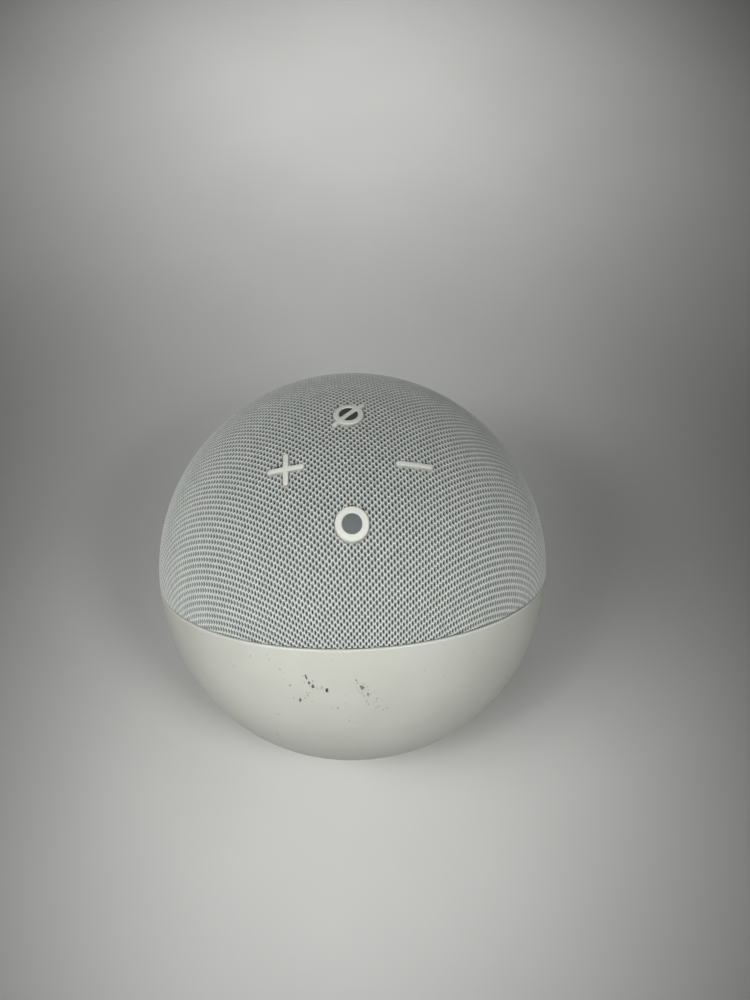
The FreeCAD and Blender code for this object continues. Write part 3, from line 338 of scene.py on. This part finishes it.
def shell_finish(slot):
    """Satin moulded plastic, slightly warm, with fine grit, a few scuff marks and specks round them."""
    material, tree, shader = blank(slot)
    place = object_place(tree)
    fine = noise(tree, place, 0.25, 4.0)
    slow = noise(tree, place, 16, 2.0)
    base = ramp(tree, slow, [(0.35, (0.60, 0.61, 0.545)), (0.65, (0.64, 0.65, 0.585))])
    wobble = add(tree, "ShaderNodeTexNoise", {"Vector": place, "Scale": 1 / (0.9 * MM), "Detail": 3.0})
    centred = add(tree, "ShaderNodeVectorMath", {0: wobble.outputs["Color"], 1: (0.5, 0.5, 0.5)},
                  operation="SUBTRACT").outputs[0]
    bent = add(tree, "ShaderNodeVectorMath", {0: centred}, operation="SCALE")
    bent.inputs["Scale"].default_value = 1.1 * MM
    moved = add(tree, "ShaderNodeVectorMath", {0: place, 1: bent.outputs[0]}, operation="ADD").outputs[0]
    squeeze = (1.7, 1.0, 1.0)
    narrow = add(tree, "ShaderNodeVectorMath", {0: moved, 1: squeeze}, operation="MULTIPLY").outputs[0]
    marks = None
    for middle, reach, dark in MARKS:
        away = np.array(middle) - BALL_CENTRE
        middle = BALL_CENTRE + away * BALL_RADIUS / np.linalg.norm(away)
        spot = tuple(m * k * MM for m, k in zip(middle, squeeze))
        off = add(tree, "ShaderNodeVectorMath", {0: narrow, 1: spot}, operation="DISTANCE").outputs["Value"]
        mark = spread(tree, off, reach * MM * 0.55, reach * MM, dark, 0.0)
        marks = mark if marks is None else sums(tree, "MAXIMUM", marks, mark)
    dots = add(tree, "ShaderNodeTexVoronoi", {"Vector": narrow, "Scale": 1 / (0.52 * MM), "Randomness": 1.0})
    chance = add(tree, "ShaderNodeSeparateColor", {"Color": dots.outputs["Color"]}).outputs[0]
    thick = None
    for middle, reach, share in SCUFFS:
        off = add(tree, "ShaderNodeVectorMath", {0: place, 1: tuple(m * MM for m in middle)},
                  operation="DISTANCE").outputs["Value"]
        patch = spread(tree, off, reach * MM * 0.1, reach * MM, share, 0.0)
        thick = patch if thick is None else sums(tree, "MAXIMUM", thick, patch)
    stray = spread(tree, noise(tree, place, 9, 1.0), 0.55, 0.75, 0.003, 0.02)
    thick = sums(tree, "MAXIMUM", thick, stray)
    chosen = sums(tree, "LESS_THAN", chance, thick)
    size = spread(tree, dots.outputs["Distance"], 0.20, 0.42, 0.75, 0.0)
    speck = sums(tree, "MAXIMUM", sums(tree, "MULTIPLY", chosen, size), marks)
    joined(tree, shader.inputs["Base Color"], mixed(tree, speck, base, (0.035, 0.036, 0.030)))
    joined(tree, shader.inputs["Roughness"], spread(tree, slow, 0.3, 0.7, 0.40, 0.50))
    shader.inputs["Specular IOR Level"].default_value = 0.4
    raised(tree, shader, sums(tree, "SUBTRACT", fine, speck), 0.006)
    return material


def yarn_finish(slot):
    """Knitted yarn with twisted fibres, its colour painted with light and shade: painted highlight on the tops and
    bars, painted shade down the sides and in the openings.
    """
    material, tree, shader = blank(slot)
    place = object_place(tree)
    crest = add(tree, "ShaderNodeAttribute", attribute_name="crest").outputs["Fac"]
    shade = add(tree, "ShaderNodeAttribute", attribute_name="shade").outputs["Fac"]
    fibres = noise(tree, place, 0.09, 3.0, 0.6)
    # Painted light and shade: near black in the openings, mid-grey down the sides, pale on the tops, palest on the
    # bars.
    painted_lit_colour = ramp(tree, crest, [(0.0, (0.10, 0.112, 0.104)), (0.10, (0.24, 0.265, 0.25)),
                             (0.30, (0.36, 0.385, 0.365)), (0.47, (0.40, 0.425, 0.405)),
                             (0.56, (0.80, 0.82, 0.79)), (1.0, (0.93, 0.94, 0.90))])
    worn = sums(tree, "MULTIPLY", sums(tree, "ADD", shade, sums(tree, "MULTIPLY", fibres, 0.5)), 0.8)
    dusk = spread(tree, worn, 0.2, 0.9, 0.30, 0.0)
    joined(tree, shader.inputs["Base Color"], mixed(tree, dusk, painted_lit_colour, (0.12, 0.135, 0.12)))
    joined(tree, shader.inputs["Roughness"], spread(tree, fibres, 0.3, 0.7, 0.75, 0.95))
    shader.inputs["Specular IOR Level"].default_value = 0.25
    shader.inputs["Sheen Weight"].default_value = 0.15
    raised(tree, shader, fibres, 0.02)
    return material


def painted_shade_ground_finish(name):
    """The knit's inner face, seen through its openings: its grey darkened to near black as painted shade down in
    the openings.
    """
    material, tree, shader = blank(name)
    fibres = noise(tree, object_place(tree), 0.15, 3.0, 0.6)
    joined(tree, shader.inputs["Base Color"],
           # Near-black colours: painted shade in the knit's openings, darker than the grey backing itself.
           ramp(tree, fibres, [(0.3, (0.030, 0.034, 0.031)), (0.7, (0.060, 0.066, 0.060))]))
    joined(tree, shader.inputs["Roughness"], spread(tree, fibres, 0.3, 0.7, 0.8, 0.95))
    raised(tree, shader, fibres, 0.04)
    return material


def floor_finish(name):
    """Pale smooth table top with the faintest mottling."""
    material, tree, shader = blank(name)
    slow = noise(tree, object_place(tree), 60, 3.0)
    fine = noise(tree, object_place(tree), 0.8, 2.0)
    joined(tree, shader.inputs["Base Color"],
           ramp(tree, slow, [(0.3, (0.485, 0.485, 0.470)), (0.7, (0.515, 0.515, 0.500))]))
    joined(tree, shader.inputs["Roughness"], spread(tree, fine, 0.3, 0.7, 0.5, 0.6))
    raised(tree, shader, fine, 0.01)
    return material


SPECIAL = {"board_laminate": board_finish, "housing_plastic": shell_finish, "knit_fabric": yarn_finish}
made_finishes = {}


def finish_of(slot):
    """The finish of one material slot, made once."""
    if slot not in made_finishes:
        made_finishes[slot] = SPECIAL.get(slot, plain_finish)(slot)
    return made_finishes[slot]


node_slots = {part["node"]: part["material_slot"] for part in frame["record"]["subparts"]}


# ---------------------------------------------------------------- the knitted cover

# How the flat net is spread over the dome: columns and rows per millimetre, how much the columns
# open out and the rows sag away from the pole, how far the columns lean, and the arc beyond which
# the columns open no further.
COLUMNS_PER_MM = 1.285
ROWS_PER_MM = 1.30
SPREAD_OUT = 4.0e-5
ROW_SAG = 0.0012
LEAN = 0.045
FARTHEST = 92.0
PLACE_STEPS = 60

# The cloth's edge along the dome's axis and as an arc from the pole, the radius it rolls over, and
# how deep it goes at the seam and at the controls' holes, which all lie above KEYS_FROM.
CLOTH_EDGE = -0.97
DOME_REACH = BALL_RADIUS * math.acos(CLOTH_EDGE / BALL_RADIUS)
EDGE_ROLL = 0.3
SEAM_TUCK = 0.78
HOLE_TUCK = 0.75
KEYS_FROM = BALL_CENTRE[2] + 0.8 * BALL_RADIUS

# One opening, in columns and rows: half the width of the bar above it, its own half width and half
# height, how far it sits above the middle, and the shoulder's share of the way out to the crest.
BAR_SHARE = 0.30
OPEN_HALF = 0.19
OPEN_TALL = 0.40
OPEN_SHIFT = 0.12
STRAND = 0.80
CORNERS = 12

# Heights against the ball's surface: the crest beside an opening, what a bar adds, how far the
# shoulder lies below the crest, the yarn's foot, and the cloth's inner face.
SIDE_CREST = -0.10
BAR_LIFT = 0.12
SHOULDER_DROP = 0.07
YARN_FOOT = -0.36
INNER_FACE = -0.66

# How pale the yarn is painted, as painted light and shade, from 0 in an opening (painted shade) to 1 on a bar
# (painted highlight): beside an opening, and what a bar adds.
CREST_PAINTED_LIGHT = (0.70, 0.30)
SHOULDER_PAINTED_LIGHT = (0.50, 0.08)
MIDDLE_SHADE = 0.5
SHADE_VARIES = 0.18

# Columns and rows laid each way from the pole, and how many pieces the net is cut into.
COLUMN_COUNT = 96
ROW_COUNT = 122
NET_PARTS = 5


def cloth_place(column, row):
    """Where a stitch of the flat net lies on the stretched dome, in arc millimetres from its pole.

    The net obeys column = a x / (1 + k (x^2 + v^2)) + lean v and row = b v - sag x^2; the
    places come from turning that round by repeated substitution."""
    x, v = column / COLUMNS_PER_MM, row / ROWS_PER_MM
    for _ in range(PLACE_STEPS):
        reach = np.minimum(x * x + v * v, FARTHEST ** 2)
        new_x = (column - LEAN * v) * (1 + SPREAD_OUT * reach) / COLUMNS_PER_MM
        x = 0.5 * x + 0.5 * new_x
        v = (row + ROW_SAG * x * x) / ROWS_PER_MM
    return x, v


def dome_points(x, v, height):
    """Points over the dome from arc places: the angle from the axis is the arc over the radius."""
    reach = np.hypot(x, v)
    angle = reach / BALL_RADIUS
    safe = np.maximum(reach, 1e-9)
    out = (np.cos(angle)[..., None] * DOME_AXIS
           + (np.sin(angle) * x / safe)[..., None] * SIDE + (np.sin(angle) * v / safe)[..., None] * REAR)
    return BALL_CENTRE + (BALL_RADIUS + height)[..., None] * out


def lay_cloth(x, v, height):
    """Cloth points with the edge tucked into the seam and rolled down at the symbols' holes.

    Also gives how far the points near the top lie outside the holes, and which points those are."""
    reach = np.hypot(x, v)
    kept, drop = roll_over(DOME_REACH - reach, EDGE_ROLL)
    drop = np.minimum(drop, SEAM_TUCK)
    shrink = (DOME_REACH - kept) / np.maximum(reach, 1e-9)
    points = dome_points(x * shrink, v * shrink, height - drop)
    above = points[..., 2] > KEYS_FROM
    px, py = points[..., 0][above], points[..., 1][above]
    outside = all_symbols_distance(px, py)
    near = outside < EDGE_ROLL
    kept, drop = roll_over(outside, EDGE_ROLL)
    gx, gy = slope_of(all_symbols_distance, px, py)
    size = np.maximum(np.hypot(gx, gy), 1e-6)
    move = np.where(near, kept - outside, 0)
    px, py = px + move * gx / size, py + move * gy / size
    level = BALL_RADIUS + height[above] - np.where(near, np.minimum(drop, HOLE_TUCK), 0)
    points[above] = np.stack([px, py, BALL_CENTRE[2] + np.sqrt(level ** 2 - px ** 2 - py ** 2)], axis=-1)
    return points, outside, above


def knit_net():
    """The raised net of yarn, in a few pieces.

    Round every opening lie twelve points of a hexagon shared with its neighbours, at the top of the yarn, then
    twelve at the shoulder and twelve on an ellipse at the foot of the yarn. Each ring carries its painted light:
    painted highlight at the top, painted shade at the foot."""
    i, j = np.meshgrid(np.arange(-COLUMN_COUNT, COLUMN_COUNT + 1),
                       np.arange(-ROW_COUNT, ROW_COUNT + 1), indexing="ij")
    even = (i + j) % 2 == 0
    column, row = i[even].astype(float), j[even].astype(float)
    x, v = cloth_place(column, row)
    past_rim, past_hole = 0.5, 0.25
    keep = np.hypot(x, v) < DOME_REACH + past_rim
    column, row = column[keep], row[keep]
    _, outside, above = lay_cloth(x[keep], v[keep], np.zeros(keep.sum()))
    clear = np.ones(len(column), bool)
    clear[above] = outside > -past_hole
    column, row = column[clear], row[clear]

    d = BAR_SHARE
    hexagon = np.array([(1 - d, 0), (0.5, 0.5), (d, 1), (0, 1), (-d, 1), (-0.5, 0.5),
                        (d - 1, 0), (-0.5, -0.5), (-d, -1), (0, -1), (d, -1), (0.5, -0.5)])
    turn = np.arange(CORNERS) * 2 * math.pi / CORNERS
    opening = np.stack([OPEN_HALF * np.cos(turn), OPEN_TALL * np.sin(turn) + OPEN_SHIFT], axis=1)
    shoulder = STRAND * hexagon + (1 - STRAND) * opening
    # 1 at the corners that touch a bar.
    bar = np.array([1, 0, 1, 1, 1, 0, 1, 0, 1, 1, 1, 0])
    rings = np.concatenate([hexagon, shoulder, opening])
    crest_level = SIDE_CREST + BAR_LIFT * bar
    level = np.concatenate([crest_level, crest_level - SHOULDER_DROP, np.full(CORNERS, YARN_FOOT)])
    # Painted light of each ring: painted highlight at the top, less on the shoulder, painted shade at the opening.
    crest = np.concatenate([CREST_PAINTED_LIGHT[0] + CREST_PAINTED_LIGHT[1] * bar,
                            SHOULDER_PAINTED_LIGHT[0] + SHOULDER_PAINTED_LIGHT[1] * bar, np.zeros(CORNERS)])

    dice = np.random.default_rng(7)
    cells = len(column)
    order = np.argsort(row, kind="stable")
    column, row = column[order], row[order]
    lift = dice.normal(0, 1, cells)
    pieces = []
    for part in range(NET_PARTS):
        some = slice(part * cells // NET_PARTS, (part + 1) * cells // NET_PARTS)
        grid = np.stack([column[some, None] + rings[:, 0], row[some, None] + rings[:, 1]], axis=-1)
        shape = grid.shape[:2]
        heights = np.broadcast_to(level, shape)
        crests = np.broadcast_to(crest, shape)
        shades = np.broadcast_to(MIDDLE_SHADE + SHADE_VARIES * lift[some, None], shape).copy()
        shades[:, :CORNERS] = MIDDLE_SHADE
        flat = np.concatenate([grid, heights[..., None]], axis=-1).reshape(-1, 3)
        unique, first, back = np.unique(np.round(flat, 4), axis=0, return_index=True, return_inverse=True)
        back = back.reshape(shape)
        px, pv = cloth_place(unique[:, 0], unique[:, 1])
        points, _, _ = lay_cloth(px, pv, unique[:, 2].copy())
        upper = back.reshape(-1, 3, CORNERS)[:, :-1]
        lower = back.reshape(-1, 3, CORNERS)[:, 1:]
        faces = np.stack([upper, np.roll(upper, -1, axis=-1), np.roll(lower, -1, axis=-1), lower], axis=-1)
        piece = make_piece(f"knit_net_{part + 1}", points, faces.reshape(-1, 4).tolist(),
                           "speaker", "knit_fabric",
                           crest=crests.reshape(-1)[first], shade=shades.reshape(-1)[first])
        pieces.append(piece)
    return pieces


def knit_ground():
    """The knit's inner face: a grid of arcs from the dome's pole, closed at the pole, down to the rim.

    Point (i, j) lies at arc i on turn j, at a fixed depth below the ball's surface."""
    rings, steps = 420, 960
    first_arc = 0.02
    reach = np.linspace(first_arc, DOME_REACH, rings)
    turn = np.linspace(0, 2 * math.pi, steps, endpoint=False)
    x, v = reach[:, None] * np.sin(turn), reach[:, None] * np.cos(turn)
    points = dome_points(x, v, np.full(x.shape, INNER_FACE)).reshape(-1, 3)
    faces = grid_faces(rings, steps, close=True)
    outside = all_symbols_distance(points[:, 0], points[:, 1])
    below = points[:, 2] < BALL_CENTRE[2]
    faces = faces[((outside > 0) | below)[faces].all(axis=1)]
    used, faces = np.unique(faces, return_inverse=True)
    faces = faces.reshape(-1, 4)[:, ::-1]
    pole = BALL_CENTRE + (BALL_RADIUS + INNER_FACE) * DOME_AXIS
    points = np.concatenate([points[used], pole[None]])
    k = np.arange(steps)
    cap = np.stack([np.full(steps, len(used)), k, (k + 1) % steps], axis=-1)
    piece = make_piece("knit_ground", points, faces.tolist() + cap.tolist(), "speaker")
    piece.data.materials.append(painted_shade_ground_finish("knit_inner_face_painted_shade"))
    return piece


# ---------------------------------------------------------------- the controls

def symbol_cap(which, body):
    """A control symbol with rounded rims: a height over a square grid seen from above.

    Inside, the top follows the ball; within roll of the outline it turns down a quarter circle.
    The points up to wall outside are gathered on the outline by repeated steps along the
    distance's slope, and become the wall."""
    step, roll, wall = 0.09, 0.42, 0.62
    tries, longest_move, least_slope = 6, 0.3, 0.05
    plain_wall, wall_stretch = 0.3, 5
    px, py = KEY_PLACES[which]
    reach = SLASH_REACH + BAR_HALF + wall + step
    line = np.arange(-reach, reach + step, step)
    x, y = np.meshgrid(line, line, indexing="ij")
    hollow = which in RING_RADIUS

    def outside_of(a, b):
        return symbol_distance(which, a, b, hollow)

    outside = outside_of(x, y)
    kept, drop = roll_over(-outside, roll)
    nx, ny = x.copy(), y.copy()
    for _ in range(tries):
        off = outside_of(nx, ny) + kept
        gx, gy = slope_of(outside_of, nx, ny)
        size = np.maximum(gx * gx + gy * gy, least_slope)
        move = np.where(outside > -roll, np.clip(off / size, -longest_move, longest_move), 0)
        nx, ny = nx - move * gx, ny - move * gy
    drop = drop + wall_stretch * np.maximum(outside - plain_wall, 0)
    px, py = px + nx, py + ny
    top = BALL_RADIUS + SYMBOL_PROUD
    points = np.stack([px, py, BALL_CENTRE[2] + np.sqrt(top ** 2 - px ** 2 - py ** 2) - drop], axis=-1)
    faces = grid_faces(*outside.shape)
    faces = faces[(outside.reshape(-1)[faces] < wall).all(axis=1)]
    used, faces = np.unique(faces, return_inverse=True)
    piece = make_piece(f"{which}_symbol", points.reshape(-1, 3)[used], faces.reshape(-1, 4).tolist(),
                       body, "button_plastic")
    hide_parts(f"{which}_button")


# ---------------------------------------------------------------- the rear shell

def gathered(count, low, high, middle, width, gain):
    """Places from low to high that lie closer together round a middle.

    How thickly they lie is 1 + gain * exp(-((place - middle) / width)^2)."""
    samples = 4001
    line = np.linspace(low, high, samples)
    thick = 1 + gain * np.exp(-((line - middle) / width) ** 2)
    running = np.concatenate([[0], np.cumsum((thick[1:] + thick[:-1]) / 2)])
    return np.interp(np.linspace(0, running[-1], count), running, line)


def rear_shell():
    """The bare shell: the ball below the seam plane, down to a level foot, with the socket recess.

    Row and column are the height angle h and the turn t from the rear: centre + radius *
    (cos h sin t, cos h cos t, sin h), with h running from the seam to the foot. Columns and rows
    lie closer together at the recess. The rim rolls inward a quarter circle at the seam; round
    the recess the ball rolls over its outline and then runs straight in to the socket plate."""
    rim_roll, mouth_roll = 0.40, 0.45
    columns, rows, finer = 460, 154, 4.0
    port_turn, port_share, port_share_width = 0.36, 0.685, 0.10
    floor_lap = 0.03
    # Share of the radius and lift of the rows that turn the foot's edge inward.
    foot_turn = ((0.985, 0), (0.92, 0), (0.92, 1.2))
    tilt_sin, tilt_cos = -DOME_AXIS[1], DOME_AXIS[2]
    turn = gathered(columns + 1, -math.pi, math.pi, 0.0, port_turn, finer)[:-1]
    lean = tilt_sin * np.cos(turn)
    size = np.hypot(tilt_cos, lean)
    # The first rows follow the edge, from well outside it to a little inside.
    past_edge = np.linspace(-1.3, 0.7, 15)[:, None]
    edge_rows = np.arctan2(lean, tilt_cos) + np.arcsin((SHELL_EDGE - past_edge) / (BALL_RADIUS * size))
    foot = math.asin((SHELL_FOOT - BALL_CENTRE[2]) / BALL_RADIUS)
    share = gathered(rows + 1, 0.0, 1.0, port_share, port_share_width, finer)[1:, None]
    height = np.concatenate([edge_rows, edge_rows[-1] * (1 - share) + foot * share])
    out = np.stack([np.cos(height) * np.sin(turn), np.cos(height) * np.cos(turn), np.sin(height)], axis=-1)

    along = out @ DOME_AXIS * BALL_RADIUS
    kept, drop = roll_over(SHELL_EDGE - along, rim_roll)
    ring = out - (out @ DOME_AXIS)[..., None] * DOME_AXIS
    ring /= np.linalg.norm(ring, axis=-1, keepdims=True)
    level = SHELL_EDGE - kept
    ring_radius = np.sqrt((BALL_RADIUS - drop) ** 2 - level ** 2)
    points = BALL_CENTRE + level[..., None] * DOME_AXIS + ring_radius[..., None] * ring

    def outside_of(x, z):
        return bar_distance(x, z - PORT_LEVEL, PORT_REACH, PORT_HALF, 0)

    x, y, z = points[..., 0], points[..., 1], points[..., 2]
    outside = np.where(y > 0, outside_of(x, z), BALL_RADIUS)
    kept, drop = roll_over(outside, mouth_roll)
    gx, gz = slope_of(outside_of, x, z)
    move = np.where(outside < mouth_roll, kept - outside, 0)
    x, z = x + move * gx, z + move * gz
    surface = np.sqrt(np.maximum(BALL_RADIUS ** 2 - x ** 2 - (z - BALL_CENTRE[2]) ** 2, 0))
    y = np.where(outside < mouth_roll, np.maximum(surface - drop, PORT_FLOOR - floor_lap), y)
    points = np.stack([x, y, z], axis=-1)
    sunk = (outside < 0) & (y < PORT_FLOOR)

    faces = grid_faces(*height.shape, close=True)
    faces = faces[~sunk.reshape(-1)[faces].all(axis=1)]
    points = points.reshape(-1, 3)
    last_row = points[-columns:]
    inward = [last_row * (shrink, shrink, 1) + (0, 0, lift) for shrink, lift in foot_turn]
    under = grid_faces(1 + len(inward), columns, close=True) + len(points) - columns
    points = np.concatenate([points] + inward)
    used, faces = np.unique(np.concatenate([faces, under]), return_inverse=True)
    piece = make_piece("rear_shell", points[used], faces.reshape(-1, 4)[:, ::-1].tolist(),
                       "speaker", "housing_plastic")
    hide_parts("rear_housing", "port_surround")


# ---------------------------------------------------------------- build

for name, thing in frame["nodes"].items():
    thing.data.materials.clear()
    thing.data.materials.append(finish_of(node_slots[name]))

ground = knit_ground()
nets = knit_net()
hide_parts("fabric_cover")
for which in KEY_PLACES:
    symbol_cap(which, f"{which}_key")
rear_shell()

# ---------------------------------------------------------------- floor, light and camera

reach = 1500.0
floor = make_piece("floor", [(-reach, -reach, 0), (reach, -reach, 0), (reach, reach, 0), (-reach, reach, 0)],
                   [(0, 1, 2, 3)], None)
floor.data.materials.append(floor_finish("table_top"))


def lamp(name, place, aim, size, beam, power):
    """A soft square lamp at a place, aimed at a point; beam is its full width in degrees."""
    light = bpy.data.lights.new(name, "AREA")
    light.shape = "SQUARE"
    light.size = size * MM
    light.energy = power
    light.spread = math.radians(beam)
    thing = bpy.data.objects.new(name, light)
    bpy.context.scene.collection.objects.link(thing)
    thing.location = [p * MM for p in place]
    away = Vector(place) - Vector(aim)
    thing.rotation_euler = away.to_track_quat("Z", "Y").to_euler()


# Left and right are those of the camera, which looks from behind.
for name, place, aim, size, beam, power in (
        ("lamp_right", (-120, 150, 300), (0, 30, 0), 80, 45, 0.034),
        ("lamp_left", (150, 110, 300), (0, 40, 0), 80, 60, 0.034),
        ("lamp_left_near", (120, 150, 300), (0, 90, 0), 80, 45, 0.029),
        ("lamp_left_high", (200, 60, 300), (0, 0, 0), 80, 50, 0.017),
        ("lamp_above", (0, 100, 500), (0, -120, 0), 120, 50, 0.017),
        ("lamp_front", (0, -330, 450), (0, -260, 0), 150, 60, 0.200),
        ("lamp_front_high", (0, -240, 520), (0, -240, 0), 150, 40, 0.047)):
    lamp(name, place, aim, size, beam, power)

world = bpy.data.worlds.new("studio")
world.use_nodes = True
world.node_tree.nodes["Background"].inputs["Color"].default_value = (0.93, 0.95, 1.0, 1.0)
world.node_tree.nodes["Background"].inputs["Strength"].default_value = 0.02
bpy.context.scene.view_settings.view_transform = "Standard"
bpy.context.scene.world = world

CAMERA_HEIGHT = math.radians(63.89)
CAMERA_ROLL = math.radians(-1.98)
CAMERA_DISTANCE = 4.777 * BALL_RADIUS
# The ball's middle in the camera's own axes: right, up and back.
AIM = np.array((-0.0239, -0.0711, -1.0))


def camera_turn():
    """The camera's axes in the object's frame: level behind the ball, rolled a little, then aimed so
    that the ball's middle sits a little left of and below the middle of the view."""
    e, r = CAMERA_HEIGHT, CAMERA_ROLL
    right = np.array((-1.0, 0.0, 0.0))
    up = np.array((0.0, -math.sin(e), math.cos(e)))
    back = np.array((0.0, math.cos(e), math.sin(e)))
    level = np.array([math.cos(r) * right + math.sin(r) * up, math.cos(r) * up - math.sin(r) * right, back])
    ahead = np.array((0.0, 0.0, -1.0))
    aim = AIM / np.linalg.norm(AIM)
    axis = np.cross(ahead, aim)
    cross = np.array([(0, -axis[2], axis[1]), (axis[2], 0, -axis[0]), (-axis[1], axis[0], 0)])
    tilt = np.eye(3) + cross + cross @ cross / (1 + ahead @ aim)
    return (tilt @ level).T, back


turned, back = camera_turn()
lens = bpy.data.cameras.new("camera")
lens.lens = 32.4
lens.sensor_width = 36.0
lens.clip_start = 0.01
camera = bpy.data.objects.new("camera", lens)
bpy.context.scene.collection.objects.link(camera)
stand = (BALL_CENTRE + CAMERA_DISTANCE * back) * MM
camera.matrix_world = Matrix.Translation(stand.tolist()) @ Matrix(turned.tolist()).to_4x4()
bpy.context.scene.camera = camera
